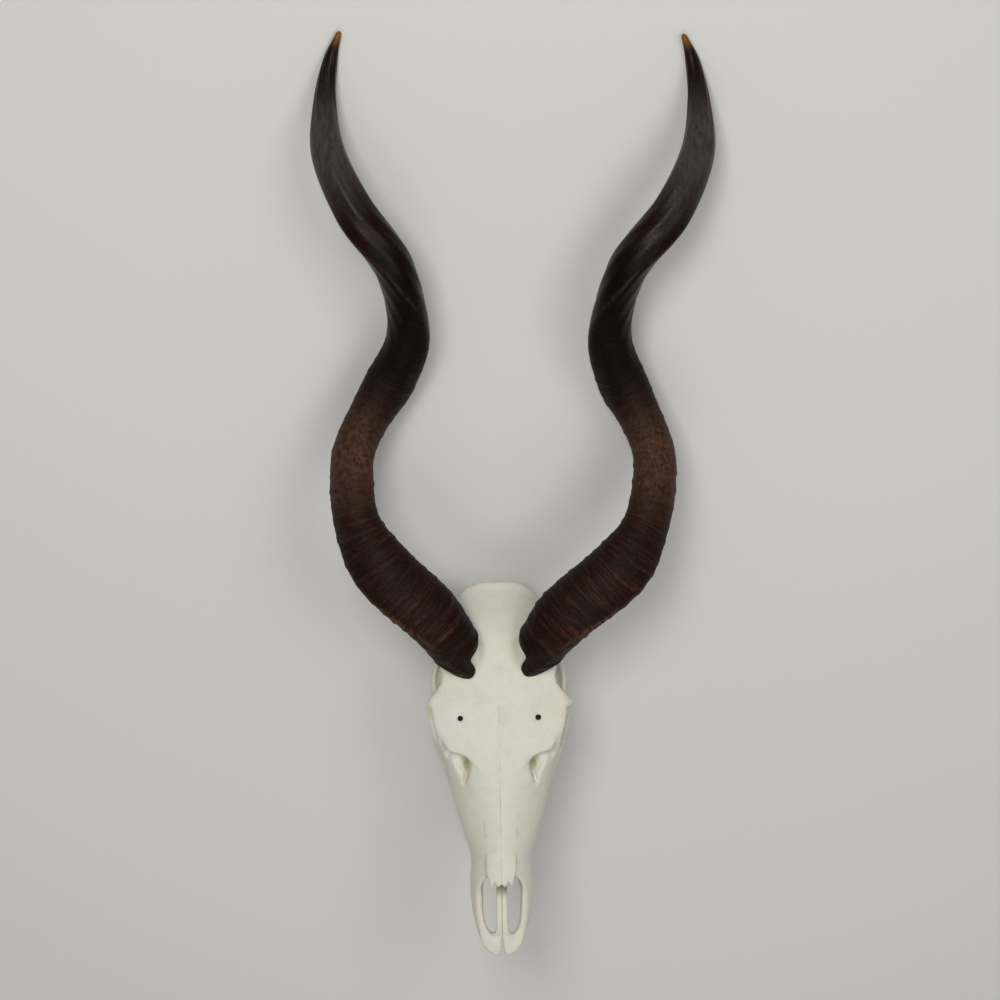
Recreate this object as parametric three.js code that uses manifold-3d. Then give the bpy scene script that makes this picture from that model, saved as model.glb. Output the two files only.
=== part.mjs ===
// A greater kudu's skull without its lower jaw, carrying two spiral horns, lying on a flat surface.
//
// Everything is modelled in the skull's own frame, in millimetres: x to the animal's left, y from the
// nose towards the horns, z out of the forehead, with the zero at the level of the brow corners. The
// finished group is then tipped back about x until it rests on the bony processes under the ears and
// on the backs of both horns near their tips, with the surface at z = 0.

import * as THREE from 'three';
import { mergeVertices } from 'three/addons/utils/BufferGeometryUtils.js';
import Module from 'manifold-3d';

const wasm = await Module();
wasm.setup();

// Driving dimensions of the skull
const SKULL_FRONT = -289; // tip of the muzzle
const FACE_SIDES = 14; // corners round the face and braincase
const BAR_SIDES = 6; // corners round a bar of bone
const ROOF_THICKNESS = 10; // brow plate over the eye sockets
const ROOF_CROWN = 0.0015; // how fast the brow plate falls away sideways, per mm
const MUZZLE_WALL = 3.6;
const EYE_CENTRE = [73, -25, -38];
const EYE_RADII = [30, 26.5, 27]; // sideways, along the face, up and down
const BROW_HOLE = { x: 43.4, y: -14.5, radius: 3, depth: 7.5 }; // the pair of small holes above the eyes
const JOINT_GAP = 0.35; // clear space between a horn or a tooth and the bone that holds it
const REST_TILT = 22; // degrees that the nose is lifted when the part lies on its back side
const REST_LEVEL = -163.9; // the resting surface, below the tilted frame's zero

// Driving dimensions of the teeth, from the back molar forwards: length along the row, width, drop
const TEETH = [
  { name: 'molar_3', length: 20.5, width: 19.5 },
  { name: 'molar_2', length: 21, width: 20.5 },
  { name: 'molar_1', length: 18.5, width: 19 },
  { name: 'premolar_4', length: 14, width: 17.5 },
  { name: 'premolar_3', length: 14, width: 15.5 },
  { name: 'premolar_2', length: 12.5, width: 12.5 },
];
const TOOTH_ROW = { back: -57, spacing: 0.5, innerBack: 38.5, innerFront: 31.5, bendY: -161 };
const TOOTH_ROOT = -93; // top of each tooth, inside its socket
const CROWN_BACK = -118.5; // chewing surface at the back of the row
const CROWN_FRONT = -108.5; // chewing surface at the front of the row

// Driving dimensions of the horns
const HORN_CORNERS = [0, 20, 46, 85, 128, 172, 216, 262, 308, 338]; // degrees from the keel
const RIDGES = { spacing: 21, height: 1.7, length: 380 }; // growth ridges on the lower part
const LOBE = { inward: 15, forward: 13, down: 26, length: 42 }; // the base's tongue on the forehead
const LOBE_CLEARANCE = 4; // how much more than elsewhere the seat is cut under the tongue
const HORN_STEP = 26; // distance between sections on the smooth upper part

// Each horn's centre line in mm, mirrored to the animal's right, from the root to the tip. radius is
// the body's, keel the height of its ridge, and turn the ridge's place round the horn in degrees,
// counted from the side that faces out of the forehead towards the outer side.
const HORN_SHAPE = [
  { radius: 29.5, keel: 6, turn: 10 },
  { radius: 32, keel: 9, turn: 40 },
  { radius: 29.5, keel: 8.5, turn: 72 },
  { radius: 22.2, keel: 7.2, turn: 104 },
  { radius: 22.8, keel: 7, turn: 128 },
  { radius: 24.2, keel: 7, turn: 158 },
  { radius: 24, keel: 7, turn: 238 },
  { radius: 20.8, keel: 5, turn: 280 },
  { radius: 22, keel: 4.5, turn: 376 },
  { radius: 19, keel: 4, turn: 438 },
  { radius: 16, keel: 3, turn: 452 },
  { radius: 11.4, keel: 1.6, turn: 472 },
  { radius: 7.8, keel: 0.7, turn: 500 },
  { radius: 3, keel: 0, turn: 520 },
];
const RIGHT_HORN_LINE = [
  [-43.5, 60, 2], [-71, 102, 27], [-122.5, 156.5, 42], [-149.3, 204, 40], [-157.2, 252, 30],
  [-155.6, 285, 21], [-123, 351, 19], [-95.5, 407, 56], [-104.5, 475.5, 112], [-144.5, 537.5, 134],
  [-172.5, 602, 128], [-176.5, 656.6, 113], [-170.5, 700, 112.4], [-159.5, 729, 124],
];
const LEFT_HORN_LINE = [
  [-44, 62, 2], [-73, 101, 27], [-132.5, 154.5, 42], [-160, 197, 40], [-173, 247.5, 31],
  [-173.6, 280.6, 22], [-147.5, 347, 19], [-128.3, 404, 58], [-143.3, 471.6, 112], [-189.7, 532.6, 134],
  [-218.5, 596.4, 128], [-222, 651.4, 113], [-216.5, 694, 110], [-206, 721.5, 122],
];

// Turns a closed geometry into a solid for joining and cutting
function solid(geometry) {
  const bare = geometry.clone();
  for (const name of Object.keys(bare.attributes)) if (name !== 'position') bare.deleteAttribute(name);
  const merged = mergeVertices(bare, 1e-4);
  const made = new wasm.Manifold(new wasm.Mesh({
    numProp: 3,
    vertProperties: new Float32Array(merged.attributes.position.array),
    triVerts: new Uint32Array(merged.index.array),
  }));
  return made;
}

// The vertices and triangles of a solid, as a geometry with flat faces
function geometryOf(made) {
  const mesh = made.getMesh();
  const points = new Float32Array(mesh.numVert * 3);
  for (let i = 0; i < mesh.numVert; i += 1) {
    points.set(mesh.vertProperties.subarray(i * mesh.numProp, i * mesh.numProp + 3), i * 3);
  }
  return new THREE.BufferGeometry()
    .setAttribute('position', new THREE.BufferAttribute(points, 3))
    .setIndex(new THREE.BufferAttribute(mesh.triVerts, 1));
}

// The same geometry on the other side of the skull
function mirrored(geometry) {
  const other = geometry.index ? geometry.toNonIndexed() : geometry.clone();
  const p = other.attributes.position;
  for (let i = 0; i < p.count; i += 3) {
    const corners = [0, 2, 1].map((k) => new THREE.Vector3().fromBufferAttribute(p, i + k));
    corners.forEach((c, k) => p.setXYZ(i + k, -c.x, c.y, c.z));
  }
  return other;
}

const both = (geometry) => [geometry, mirrored(geometry)];

// A closed skin over rings of points, each end closed by a fan to its middle
function loft(rings) {
  const sides = rings[0].length;
  const middle = (ring) => ring.reduce((sum, p) => sum.add(p), new THREE.Vector3()).divideScalar(sides);
  const points = [...rings.flat(), middle(rings[0]), middle(rings.at(-1))];
  const [first, last] = [points.length - 2, points.length - 1];
  const faces = [];
  for (let r = 0; r + 1 < rings.length; r += 1) {
    for (let s = 0; s < sides; s += 1) {
      const [a, b] = [r * sides + s, r * sides + ((s + 1) % sides)];
      faces.push(a, b, b + sides, a, b + sides, a + sides);
    }
  }
  const end = (rings.length - 1) * sides;
  for (let s = 0; s < sides; s += 1) {
    const next = (s + 1) % sides;
    faces.push(first, next, s, last, end + s, end + next);
  }
  return new THREE.BufferGeometry().setFromPoints(points).setIndex(faces);
}

// One cross-section of the head: a rounded outline with its own height and squareness above and
// below its widest level
function headRing({ y, wide, top, level, bottom, over = 2, under = 2.4 }, sides = FACE_SIDES) {
  return Array.from({ length: sides }, (_, i) => {
    const angle = (2 * Math.PI * (i + 0.5)) / sides;
    const [c, s] = [Math.cos(angle), Math.sin(angle)];
    const power = 2 / (s > 0 ? over : under);
    const height = s > 0 ? top - level : level - bottom;
    const x = wide * Math.sign(c) * Math.abs(c) ** power;
    return new THREE.Vector3(x, y, level + height * Math.sign(s) * Math.abs(s) ** power);
  }).reverse();
}

const headLoft = (stations, sides) => loft(stations.map((station) => headRing(station, sides)));

// A smooth line through points
function smoothLine(points) {
  return new THREE.CatmullRomCurve3(points.map((p) => new THREE.Vector3(...p)), false, 'centripetal');
}

// A bar of bone along a smooth line. Each point gives its place and its half width and half height,
// and up says which way its height runs.
function bar(points, up = [0, 0, 1], sides = BAR_SIDES, steps = 2) {
  const line = smoothLine(points.map((p) => p.at));
  const last = points.length - 1;
  const count = last * steps;
  const rings = Array.from({ length: count + 1 }, (_, i) => {
    const place = (i / count) * last;
    const k = Math.min(Math.floor(place), last - 1);
    const size = [0, 1].map((n) => THREE.MathUtils.lerp(points[k].size[n], points[k + 1].size[n], place - k));
    const at = line.getPoint(i / count);
    const ahead = line.getTangent(i / count);
    const side = new THREE.Vector3(...up).cross(ahead).normalize();
    const high = ahead.clone().cross(side);
    return Array.from({ length: sides }, (_, j) => {
      const angle = (2 * Math.PI * j) / sides;
      return at.clone()
        .addScaledVector(side, size[0] * Math.cos(angle))
        .addScaledVector(high, size[1] * Math.sin(angle));
    });
  });
  return loft(rings);
}

function ball(centre, radii, around = 8, along = 6) {
  return new THREE.SphereGeometry(1, around, along).scale(...radii).translate(...centre);
}

// A flat outline in x and y, made thick in z
function plate(outline, bottom, top) {
  const shape = new THREE.Shape(outline.map(([x, y]) => new THREE.Vector2(x, y)));
  return new THREE.ExtrudeGeometry(shape, { depth: top - bottom, bevelEnabled: false, steps: 1 })
    .translate(0, 0, bottom);
}

// A side view in y and z, made wide in x
function sideCut(outline, halfWidth) {
  const shape = new THREE.Shape(outline.map(([y, z]) => new THREE.Vector2(y, z)));
  return new THREE.ExtrudeGeometry(shape, { depth: 2 * halfWidth, bevelEnabled: false, steps: 1 })
    .translate(0, 0, -halfWidth)
    .applyMatrix4(new THREE.Matrix4().set(0, 0, 1, 0, 1, 0, 0, 0, 0, 1, 0, 0, 0, 0, 0, 1));
}

const joined = (geometries) => geometries.map(solid).reduce((sum, one) => sum.add(one));

// Muzzle, cheeks and upper jaw, from the nose back to the eye sockets
function face() {
  return headLoft([
    { y: SKULL_FRONT, wide: 8, top: -60, level: -68, bottom: -73 },
    { y: -284, wide: 17.5, top: -52, level: -68, bottom: -75 },
    { y: -275, wide: 23.4, top: -45, level: -68, bottom: -76 },
    { y: -262, wide: 27.4, top: -38, level: -68, bottom: -77, over: 1.7 },
    { y: -242, wide: 32.8, top: -27, level: -66, bottom: -77.5, over: 1.5 },
    { y: -222, wide: 35.3, top: -16, level: -63, bottom: -78, over: 1.5 },
    { y: -203, wide: 35.5, top: -11.5, level: -60, bottom: -78, over: 1.7 },
    { y: -176, wide: 34.4, top: -10, level: -57, bottom: -81, over: 1.75, under: 2.8 },
    { y: -164, wide: 36, top: -9, level: -58, bottom: -90, over: 1.7, under: 3.2 },
    { y: -150, wide: 41.5, top: -8, level: -59, bottom: -98, over: 1.65, under: 3.4 },
    { y: -135, wide: 45.9, top: -7, level: -60, bottom: -102, over: 1.6, under: 3.4 },
    { y: -96, wide: 56.6, top: -4.5, level: -60, bottom: -105.5, over: 1.75, under: 3.2 },
    { y: -70, wide: 61.5, top: -3, level: -57, bottom: -106, over: 2.6, under: 2.8 },
    { y: -54, wide: 62, top: -4, level: -55, bottom: -100, over: 3, under: 2.5 },
    { y: -46, wide: 54, top: -8, level: -54, bottom: -88, over: 3 },
  ]);
}

// Braincase and the bone between the eye sockets, back to the occiput
function braincase() {
  return headLoft([
    { y: -62, wide: 40, top: -7, level: -38, bottom: -76 },
    { y: -40, wide: 34, top: -6, level: -36, bottom: -78 },
    { y: -12, wide: 31.5, top: -6, level: -36, bottom: -81, over: 2.6 },
    { y: 22, wide: 40, top: -5, level: -41, bottom: -90, over: 2.6 },
    { y: 55, wide: 47, top: -3, level: -46, bottom: -97, over: 2.8 },
    { y: 80, wide: 48, top: -9, level: -50, bottom: -100, over: 2.8 },
    { y: 102, wide: 47, top: -18, level: -54, bottom: -102, over: 2.6 },
    { y: 118, wide: 42, top: -28, level: -58, bottom: -102, over: 2.4 },
    { y: 127, wide: 36, top: -34, level: -62, bottom: -101, over: 2.4 },
    { y: 133, wide: 25, top: -40, level: -66, bottom: -98, over: 2.6 },
  ]);
}

// The flat bone of the forehead, which overhangs the eye sockets and ends in the brow corners
function brow() {
  const half = [
    [50, 78], [57.5, 56], [63.4, 39], [64.2, 25], [70.2, 16.2], [77.6, 6], [81.2, 1.6], [80.2, -1.5],
    [73.4, -5], [69.6, -24], [61, -45], [57, -50.5], [44, -55.4], [32.5, -63],
    [10, -90],
  ];
  const outline = [...half, ...half.map(([x, y]) => [-x, y]).reverse()];
  const made = plate(outline, -ROOF_THICKNESS, 0);
  const p = made.attributes.position;
  for (let i = 0; i < p.count; i += 1) {
    const [x, y, z] = [p.getX(i), p.getY(i), p.getZ(i)];
    const fall = ROOF_CROWN * x * x + (y > 40 ? (y - 40) * 0.4 : 0) + (y < -60 ? (-60 - y) * 0.14 : 0);
    const inset = z > -1 ? 1 - 3 / Math.hypot(x, 30) : 1;
    p.setXYZ(i, x * inset, y, z - fall);
  }
  return made;
}

// Cheekbone: from the upper jaw under the eye socket and back to the jaw joint
function cheekArch() {
  return bar([
    { at: [50, -92, -66], size: [6, 11] },
    { at: [66.5, -52, -70], size: [6, 11.5] },
    { at: [74.5, -18, -71], size: [4.5, 9] },
    { at: [72.6, 6, -68], size: [3.2, 7.5] },
    { at: [73.6, 24, -67], size: [3, 6.5] },
    { at: [70, 42, -67], size: [3, 6.5] },
    { at: [63, 58, -71], size: [4, 7] },
    { at: [50, 68, -76], size: [8, 8] },
  ], [0, 0, 1], BAR_SIDES, 1);
}

// Flat root of the cheekbone in front of the jaw joint
function archShelf() {
  return bar([
    { at: [70, 18, -71], size: [5, 3.5] },
    { at: [60, 32, -74], size: [14, 4] },
    { at: [46, 44, -78], size: [18, 6] },
  ], [0, 0, 1], BAR_SIDES, 1);
}

// Bone in front of the eye socket, between its rim and the cheek
function tearBone() {
  return bar([
    { at: [59, -57, -31], size: [4, 5] },
    { at: [60, -60, -44], size: [5, 6] },
    { at: [60, -58, -62], size: [5, 8] },
  ], [0, 1, 0], BAR_SIDES, 1);
}

// Rim of the eye socket: an arc of bone open at the back, where the bar behind the eye closes it
function eyeRim() {
  const [firstAngle, lastAngle, count] = [0.3, 1.75, 8];
  return bar(Array.from({ length: count }, (_, i) => {
    const angle = Math.PI * THREE.MathUtils.lerp(firstAngle, lastAngle, i / (count - 1));
    const [ahead, lift] = [-Math.cos(angle), Math.sin(angle)];
    const at = [69.6 - 6.5 * ahead - 3.5 * lift, EYE_CENTRE[1] - 27 * ahead, EYE_CENTRE[2] + 28 * lift];
    return { at, size: [3.8, 6.8] };
  }), [1, 0, 0], BAR_SIDES, 1);
}

// The bar of bone behind the eye, from the brow corner down to the cheekbone
function postorbitalBar() {
  return bar([
    { at: [73, 3, -10], size: [5, 5] },
    { at: [72.6, 4, -28], size: [3.8, 5.5] },
    { at: [72.4, 4, -66], size: [4, 7] },
  ], [0, 1, 0]);
}

// Ridge round the top of the back of the head
function napeRidge() {
  const half = [
    { at: [46, 98, -78], size: [3, 4] },
    { at: [43, 113, -56], size: [3, 4] },
    { at: [35, 123.5, -46], size: [3.5, 4] },
    { at: [21, 129.8, -41.5], size: [3.5, 4] },
  ];
  const other = half.map(({ at, size }) => ({ at: [-at[0], at[1], at[2]], size })).reverse();
  return bar([...half, { at: [0, 130.2, -41], size: [4, 4.5] }, ...other], [0, 1, 0.6], BAR_SIDES, 1);
}

// Bony process under each ear, on which the tipped skull rests
function earProcess() {
  return bar([
    { at: [37, 96, -84], size: [8, 13] },
    { at: [41, 97, -104], size: [6, 11] },
    { at: [42, 95, -122], size: [4.8, 9] },
    { at: [40.5, 92, -138], size: [4.2, 7.5] },
  ], [0, 1, 0]);
}

const condyle = () => ball([19, 116, -98], [12.5, 14, 17]);
const earBubble = () => ball([27, 74, -104], [11, 16, 15]);
const jointSeat = () => ball([52, 62, -80], [14, 12, 9]);

// The stump of bone under each horn, around the horn's root
const pedicle = ([[x, y]]) => bar([
  { at: [-x - 12, y - 16, -26], size: [26, 24] },
  { at: [-x + 2, y + 2, 0], size: [26.5, 25] },
], [0, 0, 1], 12, 2);

// The way into the braincase for the spinal cord, by which such a skull is hung on a hook
const spinalHole = () => bar([
  { at: [0, 156, -82], size: [16, 14] },
  { at: [0, 92, -74], size: [16, 14] },
], [0, 0, 1], 12, 1);

// Thin bone walls on each side of the throat opening
function palateWing() {
  return bar([
    { at: [19, -66, -84], size: [3, 15] },
    { at: [18.5, -20, -87], size: [2.6, 15] },
    { at: [17, 22, -92], size: [3, 12] },
    { at: [16, 44, -94], size: [5, 8] },
  ]);
}

const skullBase = () => bar([
  { at: [0, 120, -103], size: [15, 8] },
  { at: [0, 96, -103], size: [15, 8] },
  { at: [0, 60, -97], size: [11, 9] },
  { at: [0, 20, -86], size: [9, 10] },
]);

// Everything that is hollowed out of the skull
function hollows() {
  const noseCavity = headLoft([
    { y: -276, wide: 9, top: -30, level: -50, bottom: -56, under: 4 },
    { y: -262, wide: 14, top: -30, level: -58, bottom: -65, under: 4 },
    { y: -246, wide: 21, top: -26, level: -60, bottom: -69.5, under: 4 },
    { y: -216, wide: 24, top: -18, level: -58, bottom: -70, over: 1.8, under: 4 },
    { y: -196, wide: 35.1 - MUZZLE_WALL, top: -15, level: -56, bottom: -70, over: 1.55, under: 4 },
    { y: -164, wide: 34.4 - MUZZLE_WALL, top: -15, level: -56, bottom: -71, over: 1.5, under: 4 },
    { y: -95, wide: 38, top: -12, level: -48, bottom: -80, over: 1.6, under: 3 },
    { y: -66, wide: 33, top: -16, level: -48, bottom: -84, under: 3 },
    { y: -40, wide: 15.5, top: -58, level: -72, bottom: -88, under: 3 },
    { y: 0, wide: 14.5, top: -70, level: -84, bottom: -108, under: 3 },
    { y: 16, wide: 8, top: -84, level: -92, bottom: -112, under: 3 },
  ], 12);
  const noseOpening = sideCut([
    [-310, 20], [-310, -67], [-287, -64.5], [-262, -58], [-236, -49], [-214, -38], [-204, -28],
    [-197, -21], [-190.5, -14], [-190.5, 20],
  ], 60);
  const mouthRoof = headLoft([
    { y: -176, wide: 12, top: -80, level: -88, bottom: -130 },
    { y: -160, wide: 22, top: -81, level: -90, bottom: -130, over: 3 },
    { y: -120, wide: 26, top: -88, level: -96, bottom: -130, over: 3 },
    { y: -62, wide: 27, top: -93, level: -99, bottom: -130, over: 3 },
    { y: -34, wide: 27, top: -98, level: -104, bottom: -130, over: 3 },
  ], 10);
  const throat = headLoft([
    { y: -58, wide: 15.5, top: -76, level: -88, bottom: -130 },
    { y: -30, wide: 15.5, top: -70, level: -86, bottom: -130 },
    { y: 4, wide: 14.5, top: -76, level: -90, bottom: -130 },
    { y: 20, wide: 10, top: -88, level: -98, bottom: -130 },
  ], 12);
  const brainRoom = headLoft([
    { y: -4, wide: 12, top: -22, level: -40, bottom: -60 },
    { y: 14, wide: 28, top: -14, level: -44, bottom: -78 },
    { y: 45, wide: 39, top: -11, level: -48, bottom: -88 },
    { y: 90, wide: 39, top: -22, level: -56, bottom: -90 },
    { y: 112, wide: 30, top: -36, level: -62, bottom: -90 },
  ], 12);
  const eyeSockets = both(ball(EYE_CENTRE, EYE_RADII, 10, 7));
  const eyeBacks = both(ball([50, -12, -42], [22, 20, 20], 6, 5));
  const { x, y, radius, depth } = BROW_HOLE;
  const browHoles = both(new THREE.CylinderGeometry(radius, radius, 2 * depth, 8)
    .rotateX(Math.PI / 2).translate(x, y, 0));
  const tearGaps = both(bar([
    { at: [54, -56, -12], size: [3, 5] },
    { at: [47, -60, -12], size: [8, 7] },
    { at: [39, -68, -12], size: [6.5, 8] },
    { at: [38, -79, -14], size: [3.5, 7] },
    { at: [40, -90, -19], size: [1.5, 5] },
  ], [0, 0, 1], BAR_SIDES, 1));
  const cheekHoles = both(ball([46, -150, -74], [10, 5, 4], 8, 6));
  return [noseOpening, noseCavity, mouthRoof, throat, brainRoom, ...eyeSockets, ...eyeBacks, ...browHoles,
    ...tearGaps, ...cheekHoles].map(solid);
}

// The front ends of the two nose bones, each with two points, over the nose opening
function noseTips() {
  const half = [
    [0, -200], [2.6, -204.5], [4.8, -204], [8.1, -197], [11.4, -206], [14.4, -196], [16.8, -189],
    [17.5, -178],
  ];
  const outline = [...half, ...half.slice(1).map(([x, y]) => [-x, y]).reverse()];
  const made = plate(outline.reverse(), -15.5, -11.5);
  const p = made.attributes.position;
  for (let i = 0; i < p.count; i += 1) {
    const x = p.getX(i);
    p.setZ(i, p.getZ(i) - 0.016 * x * x + (p.getY(i) + 188) * 0.06);
  }
  return made;
}

// The two long gaps in the floor of the muzzle and the notch between the muzzle's halves
function muzzleGaps() {
  const gap = [
    [6, -212], [6.4, -256], [9.2, -264.6], [13.2, -263.6], [17.8, -256.5], [20.6, -246], [21.4, -230],
    [20.8, -210], [17, -198], [8, -196],
  ];
  const notch = [[0.6, -267], [1.7, -283], [3, -294], [-3, -294], [-1.7, -283], [-0.6, -267]];
  return [...both(plate(gap.reverse(), -95, -40)), plate(notch.reverse(), -95, -40)].map(solid);
}

// A horn's centre line, size and keel as functions of the distance along it
function hornLine(points) {
  const curve = smoothLine(points);
  curve.arcLengthDivisions = 600;
  const length = curve.getLength();
  const last = points.length - 1;
  const smooth = (key, place) => {
    const k = THREE.MathUtils.clamp(Math.floor(place), 0, last - 1);
    const value = (i) => HORN_SHAPE[THREE.MathUtils.clamp(i, 0, last)][key];
    const t = place - k;
    const [a, b, c, d] = [value(k - 1), value(k), value(k + 1), value(k + 2)];
    const [m, n] = [(c - a) / 2, (d - b) / 2];
    return b + t * (m + t * (3 * (c - b) - 2 * m - n + t * (2 * (b - c) + m + n)));
  };
  return {
    length,
    at(distance) {
      const t = curve.getUtoTmapping(distance / length);
      const place = t * last;
      const ahead = curve.getTangent(t);
      const front = new THREE.Vector3(0, 0, 1).addScaledVector(ahead, -ahead.z).normalize();
      return {
        point: curve.getPoint(t),
        ahead,
        front,
        outer: front.clone().cross(ahead),
        radius: smooth('radius', place),
        keel: smooth('keel', place),
        turn: THREE.MathUtils.degToRad(smooth('turn', place)),
      };
    },
  };
}

// How far the horn's skin is from its centre line, at an angle from the keel
function hornReach({ radius, keel }, angle) {
  const near = Math.min(angle, 2 * Math.PI - angle);
  return radius * (1 + 0.04 * Math.cos(2 * angle)) + keel * Math.exp(-((near / 0.5) ** 1.6));
}

// How much a corner of the base takes part in its tongue: steep on the inner side, slow on the outer
function lobeShare(degrees, middle) {
  const away = THREE.MathUtils.degToRad((degrees > 180 ? degrees - 360 : degrees) - middle);
  return Math.exp(-((away / (away < 0 ? 0.25 : 0.5)) ** 2));
}

// One horn on the animal's right. grow makes the same horn a little larger, for cutting its seat.
function horn(points, grow = 0) {
  const line = hornLine(points);
  const extraDown = LOBE_CLEARANCE * grow;
  const distances = [-grow];
  const ridgeCount = Math.round(RIDGES.length / RIDGES.spacing);
  for (let i = 0; i < ridgeCount; i += 1) {
    distances.push(5 + i * RIDGES.spacing, 5 + (i + 0.5) * RIDGES.spacing);
  }
  const smoothStart = 5 + RIDGES.length;
  const smoothSteps = Math.round((line.length - smoothStart) / HORN_STEP);
  for (let i = 0; i <= smoothSteps; i += 1) {
    distances.push(THREE.MathUtils.lerp(smoothStart, line.length, i / smoothSteps));
  }
  const rings = distances.map((distance, i) => {
    const here = line.at(Math.max(distance, 0));
    const fade = Math.max(0, 1 - distance / RIDGES.length) ** 0.5;
    const ridge = distance > 0 && distance < smoothStart ? RIDGES.height * fade * (i % 2 ? 1 : -1) : 0;
    const centre = here.point.clone();
    if (distance < 0) centre.addScaledVector(here.ahead, distance);
    const lip = i === 0 ? -2.5 : 0;
    const low = Math.max(0, 1 - Math.max(distance, 0) / LOBE.length) ** 1.5;
    return HORN_CORNERS.map((degrees) => {
      const angle = THREE.MathUtils.degToRad(degrees);
      const reach = hornReach(here, angle) + ridge + grow + lip;
      const [inward, forward] = [2, 11].map((middle) => low * lobeShare(degrees, middle));
      const down = Math.max(inward, forward);
      return new THREE.Vector3(LOBE.inward * inward, -LOBE.forward * forward, -(LOBE.down + extraDown) * down)
        .add(centre)
        .addScaledVector(here.front, reach * Math.cos(here.turn + angle))
        .addScaledVector(here.outer, reach * Math.sin(here.turn + angle));
    }).reverse();
  });
  return loft(rings);
}

// A cheek tooth: two rounded lobes on the tongue side, ribs on the cheek side, worn hollow on top
function tooth({ length, width }, x, y, crown, grow = 0) {
  const outline = [
    [-0.5, -0.34], [-0.25, -0.5], [0, -0.36], [0.25, -0.5], [0.5, -0.34], [0.5, 0.4], [0, 0.5], [-0.5, 0.4],
  ];
  const ring = (share, z) => outline.map(([along, across]) => new THREE.Vector3(
    x + across * (width * share + 2 * grow), y + along * (length * share + 2 * grow), z,
  ));
  const rings = [ring(0.88, TOOTH_ROOT + grow), ring(1, -101), ring(0.96, crown - grow)];
  const made = loft(rings);
  const p = made.attributes.position;
  p.setZ(p.count - 1, grow ? crown - grow : crown + 3.5);
  return made;
}

// Every cheek tooth's size and place along its row
function toothRow() {
  let y = TOOTH_ROW.back;
  return TEETH.map((size) => {
    const middle = y - size.length / 2;
    y -= size.length + TOOTH_ROW.spacing;
    const share = (middle - TOOTH_ROW.back) / (TOOTH_ROW.bendY - TOOTH_ROW.back);
    const x = THREE.MathUtils.lerp(TOOTH_ROW.innerBack, TOOTH_ROW.innerFront, share ** 1.4);
    return { size, x, y: middle, crown: THREE.MathUtils.lerp(CROWN_BACK, CROWN_FRONT, share) };
  });
}

function skull() {
  const bone = joined([
    face(), braincase(), brow(),
    ...both(cheekArch()), ...both(archShelf()), ...both(eyeRim()), ...both(tearBone()),
    pedicle(LEFT_HORN_LINE), mirrored(pedicle(RIGHT_HORN_LINE)),
  ]);
  const hollowed = hollows().reduce((rest, hole) => rest.subtract(hole), bone);
  const added = joined([
    noseTips(), napeRidge(), ...both(earProcess()), ...both(condyle()), ...both(earBubble()),
    ...both(jointSeat()), ...both(palateWing()), ...both(postorbitalBar()),
  ]);
  const seats = [
    mirrored(horn(LEFT_HORN_LINE, JOINT_GAP)), horn(RIGHT_HORN_LINE, JOINT_GAP),
    ...toothRow().flatMap(({ size, x, y, crown }) => both(tooth(size, x, y, crown, JOINT_GAP))),
  ];
  const base = solid(skullBase());
  const cuts = [solid(spinalHole()), ...muzzleGaps(), ...seats.map(solid)];
  return cuts.reduce((rest, hole) => rest.subtract(hole), hollowed.add(base).add(added));
}

const BONE = new THREE.MeshStandardMaterial({ color: 0xddd8c9, roughness: 0.62, metalness: 0 });
const KERATIN = new THREE.MeshStandardMaterial({ color: 0x2e1c15, roughness: 0.42, metalness: 0 });
const ENAMEL = new THREE.MeshStandardMaterial({ color: 0xd9cfae, roughness: 0.35, metalness: 0 });

const solids = [
  { name: 'skull', material: BONE, made: skull() },
  { name: 'horn_left', material: KERATIN, made: solid(mirrored(horn(LEFT_HORN_LINE))) },
  { name: 'horn_right', material: KERATIN, made: solid(horn(RIGHT_HORN_LINE)) },
  ...toothRow().flatMap(({ size, x, y, crown }) => {
    const [left, right] = both(tooth(size, x, y, crown)).map(solid);
    return [
      { name: `tooth_${size.name}_left`, material: ENAMEL, made: left },
      { name: `tooth_${size.name}_right`, material: ENAMEL, made: right },
    ];
  }),
];

// The part as it lies: tipped back, with its four resting points worn flat on the surface at z = 0
const laid = new THREE.Matrix4().makeRotationX(THREE.MathUtils.degToRad(-REST_TILT))
  .premultiply(new THREE.Matrix4().makeTranslation(0, 0, -REST_LEVEL));
const ground = solid(new THREE.BoxGeometry(2000, 3000, 200).translate(0, 0, -100));
const kudu = new THREE.Group();
for (const { name, material, made } of solids) {
  const resting = solid(geometryOf(made).applyMatrix4(laid)).subtract(ground);
  const mesh = new THREE.Mesh(geometryOf(resting), material);
  mesh.name = name;
  kudu.add(mesh);
}

// The zero is in the middle of the part's length and width
const middle = new THREE.Box3().setFromObject(kudu).getCenter(new THREE.Vector3());
for (const mesh of kudu.children) mesh.geometry.translate(-middle.x, -middle.y, 0);

export default kudu;
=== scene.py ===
import math

import bpy
import numpy as np
from mathutils import Matrix, Vector


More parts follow.
